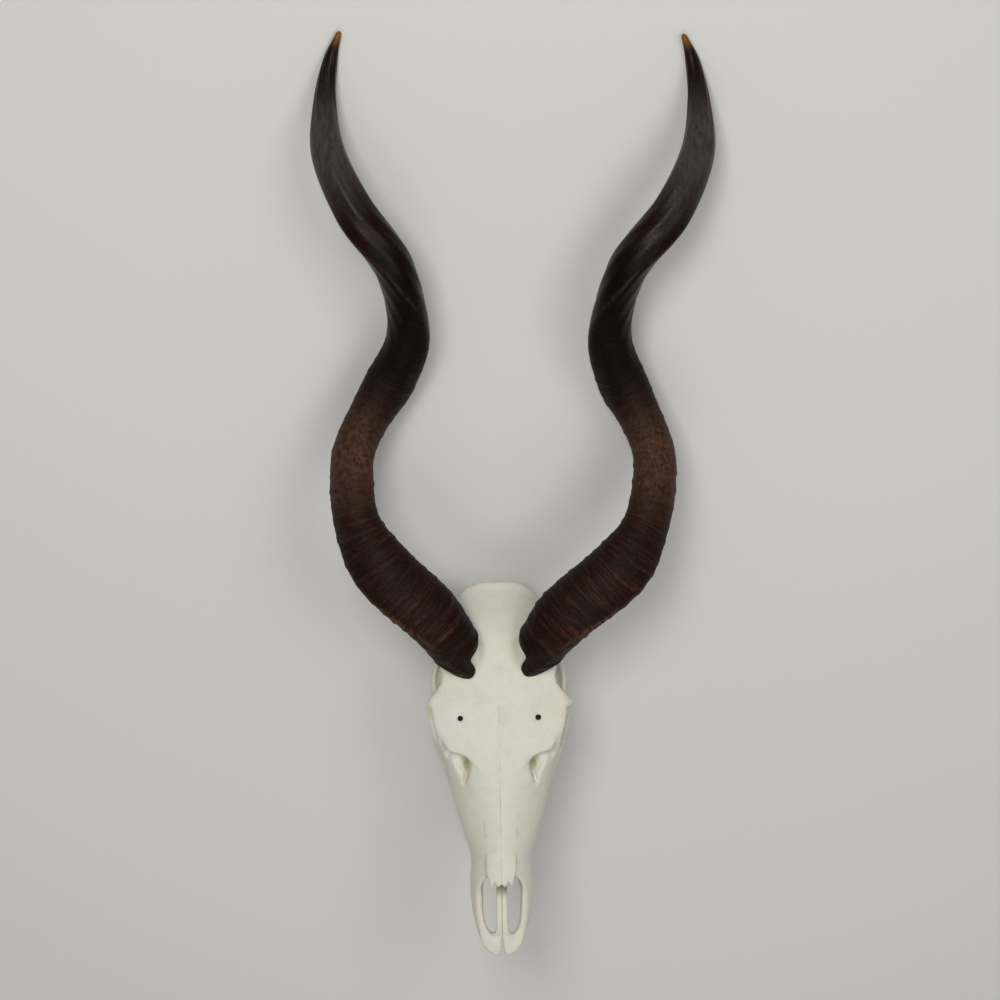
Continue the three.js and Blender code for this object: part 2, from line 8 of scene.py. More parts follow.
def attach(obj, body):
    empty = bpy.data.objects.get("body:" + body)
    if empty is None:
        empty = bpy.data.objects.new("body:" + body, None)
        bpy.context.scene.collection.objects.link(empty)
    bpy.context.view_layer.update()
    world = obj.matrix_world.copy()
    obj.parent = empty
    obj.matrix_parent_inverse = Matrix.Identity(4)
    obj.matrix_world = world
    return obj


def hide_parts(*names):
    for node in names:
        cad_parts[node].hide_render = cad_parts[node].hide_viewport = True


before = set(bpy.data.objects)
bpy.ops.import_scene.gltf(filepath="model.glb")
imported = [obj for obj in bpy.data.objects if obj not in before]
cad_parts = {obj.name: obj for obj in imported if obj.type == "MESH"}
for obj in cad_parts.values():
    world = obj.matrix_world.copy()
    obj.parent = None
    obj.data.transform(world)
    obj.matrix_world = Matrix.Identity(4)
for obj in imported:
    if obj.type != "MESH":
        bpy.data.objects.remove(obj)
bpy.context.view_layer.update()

# The object is modelled in the skull's own frame, in millimetres: x to the animal's left, y from the
# nose towards the horns, z out of the forehead. It lies tipped back on the resting surface.
REST_TILT = math.radians(22)
ROW_SHIFT = (-22.922, -214.031, 163.9)
MM = 0.001

CELL = 1.95  # grid step of the skull's surface
BLEND = 5.0  # how widely neighbouring bones flow into each other


def to_row(points):
    """Points of the skull's frame in millimetres, as they lie in the row frame in metres."""
    x, y, z = np.moveaxis(np.asarray(points, float), -1, 0)
    c, s = math.cos(REST_TILT), math.sin(REST_TILT)
    return np.stack([x + ROW_SHIFT[0], y * c + z * s + ROW_SHIFT[1], z * c - y * s + ROW_SHIFT[2]], -1) * MM


def add_mesh(name, points, faces, smooth=True):
    """A mesh object from points of the skull's frame, with shading coordinates in millimetres."""
    mesh = bpy.data.meshes.new(name)
    lying = to_row(points)
    lying[:, 2] = np.maximum(lying[:, 2], 0)
    mesh.from_pydata([tuple(p) for p in lying], [], [tuple(int(i) for i in f) for f in faces])
    mesh.polygons.foreach_set("use_smooth", np.full(len(mesh.polygons), smooth))
    home = mesh.attributes.new("home", "FLOAT_VECTOR", "POINT")
    home.data.foreach_set("vector", np.asarray(points, np.float32).ravel())
    mesh.update()
    obj = bpy.data.objects.new(name, mesh)
    bpy.context.scene.collection.objects.link(obj)
    return obj


def add_values(obj, name, values):
    """One number for each vertex, for the material to read."""
    made = obj.data.attributes.new(name, "FLOAT", "POINT")
    made.data.foreach_set("value", np.asarray(values, np.float32))


# The skull as a distance field


class Field:
    """A distance field on a grid over the animal's left half. Shapes are joined to it or cut from it."""

    def __init__(self, high_x, low, high, cell):
        self.cell = cell
        self.x = np.arange(0, high_x + cell, cell, dtype=np.float32)
        self.y = np.arange(low[0], high[0] + cell, cell, dtype=np.float32)
        self.z = np.arange(low[1], high[1] + cell, cell, dtype=np.float32)
        self.value = np.full((len(self.x), len(self.y), len(self.z)), 60, np.float32)

    def block(self, low, high, margin):
        """The part of the grid near a box, as slices and as open coordinate arrays."""
        slices, axes = [], []
        for axis, a, b in zip((self.x, self.y, self.z), low, high):
            first = max(int(np.searchsorted(axis, a - margin)) - 1, 0)
            last = min(int(np.searchsorted(axis, b + margin)) + 1, len(axis))
            slices.append(slice(first, last))
            axes.append(axis[first:last])
        grid = (axes[0][:, None, None], axes[1][None, :, None], axes[2][None, None, :])
        return tuple(slices), grid

    def join(self, shape, blend=BLEND):
        low, high, distance = shape
        where, grid = self.block(low, high, blend + 12)
        a, b = self.value[where], distance(*grid)
        self.value[where] = np.minimum(a, b) - soft(a - b, blend)

    def cut(self, shape, blend=1.5):
        low, high, distance = shape
        where, grid = self.block(low, high, blend + 12)
        a, b = self.value[where], -distance(*grid)
        self.value[where] = np.maximum(a, b) + soft(a - b, blend)


def soft(difference, blend):
    """How much a rounded join departs from a sharp one."""
    near = np.maximum(1 - np.abs(difference) / blend, 0)
    return near * near * blend / 4


def blurred(values, reach):
    """A row of values sampled each millimetre, smoothed."""
    kernel = np.hanning(2 * reach + 3)[1:-1]
    padded = np.pad(values, reach, mode="edge")
    return np.convolve(padded, kernel / kernel.sum(), "valid")


def head(stations, reach=7):
    """A loft of rounded cross-sections. Each station is y, half width, top, widest level, bottom and
    the squareness above and below that level."""
    table = np.array(stations, float)
    ys = np.arange(table[0, 0], table[-1, 0] + 1)
    columns = [blurred(np.interp(ys, table[:, 0], table[:, i]), reach) for i in range(1, 7)]
    low = (0, ys[0], table[:, 4].min())
    high = (table[:, 1].max(), ys[-1], table[:, 2].max())

    def distance(x, y, z):
        wide, top, level, bottom, over, under = (np.interp(y, ys, c).astype(np.float32) for c in columns)
        up = z - level
        above = up >= 0
        power = np.where(above, over, under)
        height = np.where(above, top - level, level - bottom)
        share = (np.abs(x / wide) ** power + np.abs(up / height) ** power) ** (1 / power) + 1e-4
        across = np.hypot(x, up) + 1e-4
        section = across - across / share
        return np.maximum(section, np.maximum(ys[0] - y, y - ys[-1]))

    return low, high, distance


def ball(centre, radii, turn=0.0):
    """An ellipsoid, turned about x by some degrees."""
    c, s = math.cos(math.radians(turn)), math.sin(math.radians(turn))
    reach = max(radii)

    def distance(x, y, z):
        dx, dy, dz = x - centre[0], y - centre[1], z - centre[2]
        dy, dz = dy * c + dz * s, dz * c - dy * s
        share = np.sqrt((dx / radii[0]) ** 2 + (dy / radii[1]) ** 2 + (dz / radii[2]) ** 2) + 1e-4
        across = np.sqrt(dx * dx + dy * dy + dz * dz) + 1e-4
        return across - across / share

    return [v - reach for v in centre], [v + reach for v in centre], distance


def curve_points(points, steps):
    """A smooth line through points of any dimension."""
    p = np.asarray(points, float)
    p = np.vstack([2 * p[0] - p[1], p, 2 * p[-1] - p[-2]])
    t = np.linspace(0, 1, steps, endpoint=False)[:, None]
    parts = []
    for a, b, c, d in zip(p, p[1:], p[2:], p[3:]):
        parts.append(0.5 * (2 * b + (c - a) * t + (2 * a - 5 * b + 4 * c - d) * t**2
                            + (3 * b - a - 3 * c + d) * t**3))
    return np.vstack([*parts, p[-2:-1]])


def bar(points, up=(0, 0, 1), steps=3):
    """A bar of bone. Each point is x, y, z, half width and half height, and up is the height's way."""
    line = curve_points(points, steps)
    up = np.array(up, float)
    reach = line[:, 3:].max()
    low, high = line[:, :3].min(0) - reach, line[:, :3].max(0) + reach

    def distance(x, y, z):
        best = np.float32(1e3)
        for a, b in zip(line, line[1:]):
            way = b[:3] - a[:3]
            length = np.linalg.norm(way)
            way = way / length
            side = np.cross(up, way)
            side /= np.linalg.norm(side)
            rise = np.cross(way, side)
            dx, dy, dz = x - a[0], y - a[1], z - a[2]
            along = dx * way[0] + dy * way[1] + dz * way[2]
            place = np.clip(along / length, 0, 1)
            wide = a[3] + (b[3] - a[3]) * place
            tall = a[4] + (b[4] - a[4]) * place
            u = dx * side[0] + dy * side[1] + dz * side[2]
            v = dx * rise[0] + dy * rise[1] + dz * rise[2]
            w = along - place * length
            share = np.sqrt((u / wide) ** 2 + (v / tall) ** 2 + (w / np.minimum(wide, tall)) ** 2) + 1e-4
            across = np.sqrt(u * u + v * v + w * w) + 1e-4
            best = np.minimum(best, (across - across / share).astype(np.float32))
        return best

    return low, high, distance


def outline_distance(outline, x, y):
    """Distance in x and y from a closed outline, negative inside."""
    best = np.full(np.broadcast(x, y).shape, 1e6)
    inside = np.zeros(best.shape, bool)
    for (ax, ay), (bx, by) in zip(outline, np.roll(outline, -1, 0)):
        ex, ey = bx - ax, by - ay
        t = np.clip(((x - ax) * ex + (y - ay) * ey) / (ex * ex + ey * ey), 0, 1)
        best = np.minimum(best, (x - ax - t * ex) ** 2 + (y - ay - t * ey) ** 2)
        with np.errstate(divide="ignore", invalid="ignore"):
            inside ^= ((ay > y) != (by > y)) & (x < (bx - ax) * (y - ay) / (by - ay) + ax)
    return np.where(inside, -1, 1) * np.sqrt(best)


def plate(outline, top, thickness, rounding=2.5):
    """A plate of bone with a smooth outline, below a height given in x and y."""
    corners = np.array(outline, float)
    z_high = float(np.max(top(corners[:, 0], corners[:, 1]))) + 4
    z_low = float(np.min(top(corners[:, 0], corners[:, 1]))) - thickness
    low = (corners[:, 0].min(), corners[:, 1].min(), z_low)
    high = (corners[:, 0].max(), corners[:, 1].max(), z_high)

    def distance(x, y, z):
        flat = outline_distance(corners, x[:, :, 0], y[:, :, 0])[:, :, None] + rounding
        roof = top(x, y)
        tall = np.maximum(z - roof, roof - thickness - z) + rounding
        outside = np.hypot(np.maximum(flat, 0), np.maximum(tall, 0))
        return (outside + np.minimum(np.maximum(flat, tall), 0) - rounding).astype(np.float32)

    return low, high, distance


# The half of the forehead's outline on the animal's left, from the middle behind the horns round the
# brow corner to the middle in front of the eyes
BROW_OUTLINE = [
    (-10, 84), (10, 84), (40, 80), (50, 68), (57.5, 56), (62, 45), (63.4, 39), (62.7, 32), (64.8, 24),
    (70.2, 16.2), (75, 11), (79.6, 6.2), (83, 2), (82, -1.2), (77.5, -3.2), (74.6, -6), (72.4, -12),
    (69.6, -24), (64.4, -36), (61, -45), (57, -50.5), (51, -53.5), (44, -55.4), (38, -58), (32.5, -63),
    (26, -71), (17, -82), (8, -92), (-8, -92),
]
BROW_HOLE = (43.4, -14.5)  # the pair of small holes over the eyes
EYE_CENTRE = (73, -25, -38)
EYE_RADII = (30, 26.5, 27)

# Cross-sections of the bone and of what is hollow in it, as `head` takes them
FACE = [
    (-289, 8, -60, -68, -73, 2, 2.4), (-284, 17.5, -52, -68, -75, 2, 2.4),
    (-275, 23.4, -45, -68, -76, 2, 2.4), (-262, 27.4, -38, -68, -77, 1.7, 2.4),
    (-242, 32.8, -27, -66, -77.5, 1.5, 2.4), (-222, 35.3, -16, -63, -78, 1.5, 2.4),
    (-203, 35.5, -11.5, -60, -78, 1.7, 2.4), (-176, 34.4, -10, -57, -81, 1.75, 2.8),
    (-164, 36, -9, -58, -90, 1.7, 3.2), (-150, 41.5, -8, -59, -98, 1.65, 3.4),
    (-135, 45.9, -7, -60, -102, 1.6, 3.4), (-96, 56.6, -4.5, -60, -105.5, 1.75, 3.2),
    (-70, 61.5, -3, -57, -106, 2.6, 2.8), (-54, 62, -4, -55, -100, 3, 2.5), (-46, 54, -8, -54, -88, 3, 2.4),
]
BRAINCASE = [
    (-62, 40, -7, -38, -76, 2, 2.4), (-40, 34, -6, -36, -78, 2, 2.4), (-12, 31.5, -6, -36, -81, 2.6, 2.4),
    (22, 40, -5, -41, -90, 2.6, 2.4), (55, 47, -3, -46, -97, 2.8, 2.4), (80, 48, -9, -50, -100, 2.8, 2.4),
    (102, 47, -18, -54, -102, 2.6, 2.4), (118, 42, -28, -58, -102, 2.4, 2.4),
    (127, 36, -34, -62, -101, 2.4, 2.4), (133, 25, -40, -66, -98, 2.6, 2.4),
]
NOSE_CAVITY = [
    (-276, 9, -30, -50, -56, 2, 4), (-262, 14, -30, -58, -65, 2, 4), (-246, 21, -26, -60, -69.5, 2, 4),
    (-216, 24, -18, -58, -70, 1.8, 4), (-196, 31.5, -15, -56, -70, 1.55, 4),
    (-164, 30.8, -15, -56, -71, 1.5, 4), (-95, 38, -12, -48, -80, 1.6, 3),
    (-66, 33, -16, -48, -84, 2, 3), (-40, 15.5, -58, -72, -88, 2, 3), (0, 14.5, -70, -84, -108, 2, 3),
    (16, 8, -84, -92, -112, 2, 3),
]
MOUTH_ROOF = [
    (-176, 12, -80, -88, -130, 2, 2.4), (-160, 22, -81, -90, -130, 3, 2.4),
    (-120, 26, -88, -96, -130, 3, 2.4), (-62, 27, -93, -99, -130, 3, 2.4), (-34, 27, -98, -104, -130, 3, 2.4),
]
THROAT = [
    (-58, 15.5, -76, -88, -130, 2, 2.4), (-30, 15.5, -70, -86, -130, 2, 2.4),
    (4, 14.5, -76, -90, -130, 2, 2.4), (20, 10, -88, -98, -130, 2, 2.4),
]
BRAIN_ROOM = [
    (-4, 12, -22, -40, -60, 2, 2.4), (14, 28, -14, -44, -78, 2, 2.4), (45, 39, -11, -48, -88, 2, 2.4),
    (90, 39, -22, -56, -90, 2, 2.4), (112, 30, -36, -62, -90, 2, 2.4),
]

# Outlines of the nose: its opening from the side, then the rest from above
NOSE_EDGE = [
    (-310, -67), (-287, -64.5), (-262, -58), (-236, -49), (-214, -40), (-204, -32), (-197, -25),
    (-190.5, -18), (-189, 30), (-310, 30),
]
NOSE_TIPS = [
    (-2, -170), (17.5, -170), (17.3, -182), (16.8, -189.5), (14.6, -196), (13, -202.5), (11.4, -207),
    (9.8, -202.5), (8.1, -196.8), (6.6, -200.5), (5, -204.8), (2.6, -205.2), (0.9, -201), (-2, -199),
]
MUZZLE_GAP = [
    (8, -196), (17, -198), (20.8, -210), (21.4, -230), (20.6, -246), (17.8, -256.5), (13.2, -263.6),
    (9.2, -264.6), (6.6, -259), (6, -236), (6, -212),
]
MUZZLE_SPLIT = [(-3, -267), (0.6, -267), (1.2, -274), (1.7, -283), (3.5, -294), (-3, -294)]


def brow_height(x, y):
    """The forehead's surface: gently crowned, falling away behind the horns and towards the nose."""
    back, front = np.maximum(y - 36, 0), np.maximum(-44 - y, 0)
    corner = np.maximum(np.abs(x) - 52, 0)
    middle = 1.3 * np.exp(-((x / 16) ** 2)) * np.clip((y - 10) / 40, 0, 1)
    return 0.6 - 0.0012 * x * x - 0.006 * corner**2 - 0.42 * back - 0.1 * front - 0.0012 * front**2 + middle


def nose_tip_height(x, y):
    """The top of the nose bones at their front ends."""
    return -10.6 - 0.018 * x * x + 0.05 * (y + 186)


def side_cut(outline, wide):
    """A hollow with a side view in y and z, right across the skull."""
    corners = np.array(outline, float)
    low = (0, corners[:, 0].min(), corners[:, 1].min())
    high = (wide, corners[:, 0].max(), corners[:, 1].max())

    def distance(x, y, z):
        return outline_distance(corners, y[0], z[0])[None].astype(np.float32) + 0 * x

    return low, high, distance


def through(outline, low_z, high_z):
    """A gap with an outline in x and y, between two heights."""
    corners = np.array(outline, float)
    low = (corners[:, 0].min(), corners[:, 1].min(), low_z)
    high = (corners[:, 0].max(), corners[:, 1].max(), high_z)

    def distance(x, y, z):
        flat = outline_distance(corners, x[:, :, 0], y[:, :, 0])[:, :, None]
        return np.maximum(flat, np.maximum(low_z - z, z - high_z)).astype(np.float32)

    return low, high, distance


def skull_field():
    """The whole bone, half of it, with the other half its mirror image."""
    f = Field(90, (-294, -146), (144, 18), CELL)
    f.join(head(FACE))
    f.join(head(BRAINCASE), 9)
    f.join(plate(BROW_OUTLINE, brow_height, 9), 3)
    f.join(cheek_arch(), 5)
    f.join(arch_shelf(), 6)
    f.join(eye_rim(), 5)
    f.join(pedicle(), 9)
    f.join(tear_bone(), 5)
    carve(f)
    grow(f)
    finish_cuts(f)
    return f


def cheek_arch():
    """Cheekbone: from the upper jaw under the eye socket and back to the jaw joint."""
    return bar([
        (50, -92, -66, 6, 11), (66.5, -52, -70, 6, 11.5), (74.5, -18, -71, 4.5, 9), (72.6, 6, -68, 3.2, 7.5),
        (73.6, 24, -67, 3, 6.5), (70, 42, -67, 3, 6.5), (63, 58, -71, 4, 7), (50, 68, -76, 8, 8),
    ])


def arch_shelf():
    """Flat root of the cheekbone in front of the jaw joint."""
    return bar([(70, 18, -71, 5, 3.5), (60, 32, -74, 14, 4), (46, 44, -78, 18, 6)])


def eye_rim():
    """Rim of the eye socket: an arc, open at the back where the bar behind the eye closes it."""
    rim = []
    for angle in np.radians(np.linspace(54, 315, 12)):
        ahead, lift = -math.cos(angle), math.sin(angle)
        x = 69.6 - 6.5 * ahead - 3.5 * lift
        rim.append((x, EYE_CENTRE[1] - 27 * ahead, EYE_CENTRE[2] + 28 * lift, 3.8, 6.8))
    return bar(rim, (1, 0, 0), 2)


def pedicle():
    """The stump of bone under a horn."""
    return bar([(33, 45, -26, 26, 24), (45, 63, 0, 26, 24.5)], steps=2)


def tear_bone():
    """Bone in front of the eye socket, between its rim and the cheek."""
    return bar([(59, -57, -31, 4, 5), (60, -60, -44, 5, 6), (60, -58, -62, 5, 8)], (0, 1, 0), 2)


def carve(f):
    """The hollows that lie behind the added parts."""
    f.cut(side_cut(NOSE_EDGE, 60), 1.2)
    f.cut(head(NOSE_CAVITY), 3)
    f.cut(head(MOUTH_ROOF), 4)
    f.cut(head(THROAT), 3)
    f.cut(head(BRAIN_ROOM), 3)
    f.cut(ball(EYE_CENTRE, EYE_RADII), 4)
    eye_back = ball((50, -12, -42), (22, 20, 20))
    f.cut(eye_back, 6)
    temple = ball((52, 104, -8), (20, 44, 14), -14)
    f.cut(temple, 10)


def grow(f):
    """The parts that stand in or around those hollows."""
    f.join(skull_base(), 6)
    f.join(nose_wall(), 4)
    f.join(plate(NOSE_TIPS, nose_tip_height, 4.2, 0.6), 1.2)
    f.join(nape_ridge(), 7)
    f.join(ear_process(), 5)
    condyle = ball((19, 116, -98), (12.5, 14, 17), 20)
    f.join(condyle, 4)
    ear_bubble = ball((27, 74, -104), (11, 16, 15))
    f.join(ear_bubble, 4)
    ear_tube = bar([(40, 82, -84, 6, 6), (53, 84, -82, 5.5, 5.5)])
    f.join(ear_tube, 4)
    joint_seat = ball((52, 62, -80), (14, 12, 9))
    f.join(joint_seat, 5)
    f.join(palate_wing(), 4)
    f.join(bar_behind_eye(), 4)


def skull_base():
    """The floor of the braincase, from the throat to the neck joint."""
    return bar([(0, 120, -103, 15, 8), (0, 96, -103, 15, 8), (0, 60, -97, 11, 9), (0, 20, -86, 9, 10)])


def nose_wall():
    """The thin upright wall in the middle of the nose."""
    return bar([
        (0, -60, -62, 1.8, 22), (0, -150, -46, 1.8, 26),
        (0, -186, -50, 1.8, 18), (0, -202, -62, 2.4, 8),
    ])


def nape_ridge():
    """Ridge round the top of the back of the head."""
    return bar([
        (46, 98, -78, 3, 4), (43, 113, -56, 3, 4), (35, 123.5, -46, 3.5, 4), (21, 129.8, -41.5, 3.5, 4),
        (-4, 130.2, -41, 4, 4.5),
    ], (0, 1, 0.6))


def ear_process():
    """Bony process under the ear, on which the tipped skull rests."""
    return bar([
        (37, 96, -84, 8, 13), (41, 97, -104, 6, 11), (42, 95, -122, 4.8, 9), (40.5, 92, -138.6, 4.2, 7.5),
    ], (0, 1, 0))


def palate_wing():
    """Thin wall of bone beside the throat opening."""
    return bar([(19, -66, -84, 3, 15), (18.5, -20, -87, 2.6, 15), (17, 22, -92, 3, 12), (16, 44, -94, 5, 8)])


def bar_behind_eye():
    """The bar of bone behind the eye, from the brow corner down to the cheekbone."""
    return bar([(73, 3, -10, 5, 5), (72.6, 4, -28, 3.8, 5.5), (72.4, 4, -66, 4, 7)], (0, 1, 0))


def finish_cuts(f):
    """Holes and gaps through the finished bone."""
    spinal_hole = bar([(0, 92, -74, 16, 14), (0, 160, -82, 16, 14)], steps=1)
    f.cut(spinal_hole, 3)
    f.cut(through(MUZZLE_GAP, -95, -40), 1)
    f.cut(through(MUZZLE_SPLIT, -95, -30), 0.6)
    brow_hole = ball((*BROW_HOLE, -1), (3.4, 3.4, 7.2))
    f.cut(brow_hole, 0.8)
    brow_furrow = ball((43.6, -18, 3.5), (6, 11, 4.6))
    f.cut(brow_furrow, 4)
    tear_gap = bar([
        (54, -56, -12, 3, 5), (48, -60, -12, 8, 8), (41, -67, -13, 8.5, 9.5), (39.5, -78, -15, 5, 6),
        (41, -90, -19, 2, 3.5),
    ])
    f.cut(tear_gap, 3)
    tear_slit = bar([(38, -66, -16, 3, 10), (37.5, -75, -17, 2, 9), (40.5, -88, -21, 1.5, 6)])
    f.cut(tear_slit, 0.8)
    ear_hole = ball((53, 84.5, -82), (8, 3, 3))
    f.cut(ear_hole, 1)
    cheek_hole = ball((40, -158, -66), (9, 5, 3.6))
    f.cut(cheek_hole, 2)
    for tooth in tooth_row():
        socket_radii = (tooth["width"] / 2 + 0.5, tooth["length"] / 2 + 0.3, 14)
        socket = ball((tooth["x"], tooth["y"], -101), socket_radii)
        f.cut(socket, 1)


def surface(f):
    """Vertices and four-cornered faces of the field's zero level, both halves."""
    value = np.concatenate([f.value[:0:-1], f.value])
    xs = np.concatenate([-f.x[:0:-1], f.x])
    value = value + surface_unevenness(xs, f.y, f.z)
    inside = value < 0
    shape = tuple(n - 1 for n in value.shape)
    count = np.zeros(shape, np.int8)
    for i in range(8):
        a, b, c = i & 1, i >> 1 & 1, i >> 2
        count += inside[a:shape[0] + a, b:shape[1] + b, c:shape[2] + c]
    active = (count > 0) & (count < 8)
    number = np.full(shape, -1, np.int64)
    number[active] = np.arange(active.sum())
    total = np.zeros((int(active.sum()), 3))
    weight = np.zeros(len(total))
    faces = []
    for axis in range(3):
        one = [slice(None)] * 3
        two = [slice(None)] * 3
        one[axis], two[axis] = slice(0, -1), slice(1, None)
        first, second = value[tuple(one)], value[tuple(two)]
        edges = np.argwhere((first < 0) != (second < 0))
        starts = first[tuple(edges.T)]
        share = starts / (starts - second[tuple(edges.T)])
        spot = edges.astype(float)
        spot[:, axis] += share
        u, v = (axis + 1) % 3, (axis + 2) % 3
        around = []
        for du, dv in ((0, 0), (1, 0), (1, 1), (0, 1)):
            cell = edges.copy()
            cell[:, u] -= du
            cell[:, v] -= dv
            good = np.all((cell >= 0) & (cell < shape), axis=1)
            index = np.full(len(cell), -1)
            index[good] = number[tuple(cell[good].T)]
            np.add.at(total, index[good], spot[good])
            np.add.at(weight, index[good], 1)
            around.append(index)
        quads = np.stack(around, 1)
        flip = starts > 0
        quads[flip] = quads[flip][:, ::-1]
        faces.append(quads[np.all(quads >= 0, axis=1)])
    points = total / weight[:, None] * f.cell + (xs[0], f.y[0], f.z[0])
    return points, np.vstack(faces)


def surface_unevenness(x, y, z):
    """Slow waves of a fraction of a millimetre, so that the two sides aren't exact copies."""
    x, y, z = x[:, None, None], y[None, :, None], z[None, None, :]
    waves = np.sin(x / 11 + y / 17 + 1.3) * np.sin(y / 13 - z / 15) + np.sin(x / 23 - y / 29 + z / 19)
    return (0.22 * waves).astype(np.float32)


def smoothed(points, faces, rounds=2, strength=0.5):
    """The same values at the vertices, with the grid's steps evened out."""
    edges = np.vstack([faces[:, [i, (i + 1) % 4]] for i in range(4)])
    for _ in range(rounds):
        total = np.zeros_like(points)
        number = np.zeros(len(points))
        for a, b in ((0, 1), (1, 0)):
            np.add.at(total, edges[:, a], points[edges[:, b]])
            np.add.at(number, edges[:, a], 1)
        points = points + strength * (total / number[:, None] - points)
    return points


# The horns

HORN_SHAPE = np.array([  # body radius, keel height, keel's place round the horn in degrees
    (29.5, 6, 10), (32, 9, 40), (29.5, 8.5, 72), (22.2, 7.2, 104), (22.8, 7, 128),
    (24.2, 7, 158), (24, 7, 238), (20.8, 5, 280), (22, 4.5, 376), (19, 4, 438),
    (16, 3, 452), (11.4, 1.6, 472), (7.8, 0.7, 500), (3, 0, 520),
], float)
RIGHT_HORN_LINE = np.array([
    (-43.5, 60, 2), (-71, 102, 27), (-122.5, 156.5, 42), (-149.3, 204, 40), (-157.2, 252, 30),
    (-155.6, 285, 21), (-123, 351, 19), (-95.5, 407, 56), (-104.5, 475.5, 112), (-144.5, 537.5, 134),
    (-172.5, 602, 128), (-176.5, 656.6, 113), (-170.5, 700, 112.4), (-159.5, 729, 124),
], float)
LEFT_HORN_LINE = np.array([
    (-44, 62, 2), (-73, 101, 27), (-132.5, 154.5, 42), (-160, 197, 40), (-173, 247.5, 31),
    (-173.6, 280.6, 22), (-147.5, 347, 19), (-128.3, 404, 58), (-143.3, 471.6, 112), (-189.7, 532.6, 134),
    (-218.5, 596.4, 128), (-222, 651.4, 113), (-216.5, 694, 110), (-206, 721.5, 122),
], float)
LOBE = (15, -13, -26)  # how far the base's tongue reaches to the middle, to the nose and down to the bone
LOBE_LENGTH = 42
RINGED_LENGTH = 480  # the lower part, which has growth rings
RINGED_ROWS = 660
SMOOTH_ROWS = 280
HORN_CORNERS = 96
RING_KINDS = [  # smallest and largest gap between rings, their height and width, and where they end
    (2.6, 4.6, 0.6, 1.1, 470),
    (12, 22, 1.9, 2.6, 400),
]
FURROW_DEPTH = 0.25
FURROW_START, FURROW_GROWTH = 300, 160  # furrows grow in where the rings fade
FURROW_FADE = 60  # they fade out this far before the tip
WORN_MIDDLE, WORN_LENGTH = 330, 55  # the lumpy stretch of the keel
RING_BED, RING_BED_LENGTH = 1.0, 430  # the body is this much thinner under the rings
BASE_ROUNDING = (9, 2.5)  # length and depth
TIP_ROUNDING = 5
TAN_ZONE = 262  # middle of the brown stretch, along the horn
# The dark stretch along the horn is painted shade.
DARK_WAIST = 445  # middle of the dark stretch above it


def horn_line(points):
    """A smooth line through the points with knots spaced by the square root of their distance."""
    p = np.vstack([2 * points[0] - points[1], points, 2 * points[-1] - points[-2]])
    t = np.linspace(0, 1, 60, endpoint=False)[:, None]
    rows, places = [], []
    for k in range(len(points) - 1):
        a, b, c, d = p[k:k + 4]
        g0, g1, g2 = (max(np.linalg.norm(e), 1e-6) ** 0.5 for e in (b - a, c - b, d - c))
        m = ((b - a) / g0 - (c - a) / (g0 + g1) + (c - b) / g1) * g1
        n = ((c - b) / g1 - (d - b) / (g1 + g2) + (d - c) / g2) * g1
        rows.append(b + m * t + (3 * (c - b) - 2 * m - n) * t**2 + (2 * (b - c) + m + n) * t**3)
        places.append(k + t[:, 0])
    line = np.vstack([*rows, points[-1:]])
    return line, np.append(np.concatenate(places), len(points) - 1)


def shape_at(places):
    """Horn sizes between the control points, as smooth as the line."""
    last = len(HORN_SHAPE) - 1
    k = np.clip(np.floor(places).astype(int), 0, last - 1)
    t = (places - k)[:, None]
    a, b, c, d = (HORN_SHAPE[np.clip(k + i, 0, last)] for i in (-1, 0, 1, 2))
    m, n = (c - a) / 2, (d - b) / 2
    return b + t * (m + t * (3 * (c - b) - 2 * m - n + t * (2 * (b - c) + m + n)))


def growth_rings(along, angle, seed):
    """Height of the ring ridges: fine ones crowded together, and a strong one wherever growth paused."""
    random = np.random.default_rng(seed)
    height = np.zeros(np.broadcast(along, angle).shape)
    for low_gap, high_gap, tall, wide, reach in RING_KINDS:
        place = random.uniform(5, 12)
        while place < reach:
            strength = tall * random.uniform(0.45, 1.0) * (0.35 + 0.65 * (1 - place / reach))
            sway = random.uniform(0, 2 * math.pi, 3)
            shift = 1.6 * np.sin(angle + sway[0]) + 1.1 * np.sin(2 * angle + sway[1])
            shift = shift + 0.5 * np.sin(5 * angle + sway[2])
            arc = 0.68 + 0.32 * np.sin(2 * angle + sway[2])
            away = along - place - shift
            width = np.where(away > 0, 1.7 * wide, 0.8 * wide)
            height += strength * arc * np.exp(-np.abs(away / width) ** 1.6)
            place += random.uniform(low_gap, high_gap)
    return height


def lobe_share(angle, middle):
    """How much a corner of the base takes part in its tongue, steep on the inner side."""
    away = np.where(angle > math.pi, angle - 2 * math.pi, angle) - math.radians(middle)
    return np.exp(-((away / np.where(away < 0, 0.25, 0.5)) ** 2))


def horn_frame(points):
    """Distance, centre, size and two directions for each row of a horn's skin, and the horn's length."""
    line, places = horn_line(points)
    steps = np.concatenate([[0], np.cumsum(np.linalg.norm(np.diff(line, axis=0), axis=1))])
    length = steps[-1]
    ringed = np.linspace(0, RINGED_LENGTH, RINGED_ROWS, endpoint=False)
    along = np.concatenate([ringed, np.linspace(RINGED_LENGTH, length, SMOOTH_ROWS)])
    centre = np.stack([np.interp(along, steps, line[:, i]) for i in range(3)], 1)
    size = shape_at(np.interp(along, steps, places))
    ahead = np.gradient(centre, axis=0)
    ahead /= np.linalg.norm(ahead, axis=1)[:, None]
    front = np.array([0, 0, 1.0]) - ahead * ahead[:, 2:]
    front /= np.linalg.norm(front, axis=1)[:, None]
    outer = np.cross(front, ahead)
    return along, centre, size, front, outer, length


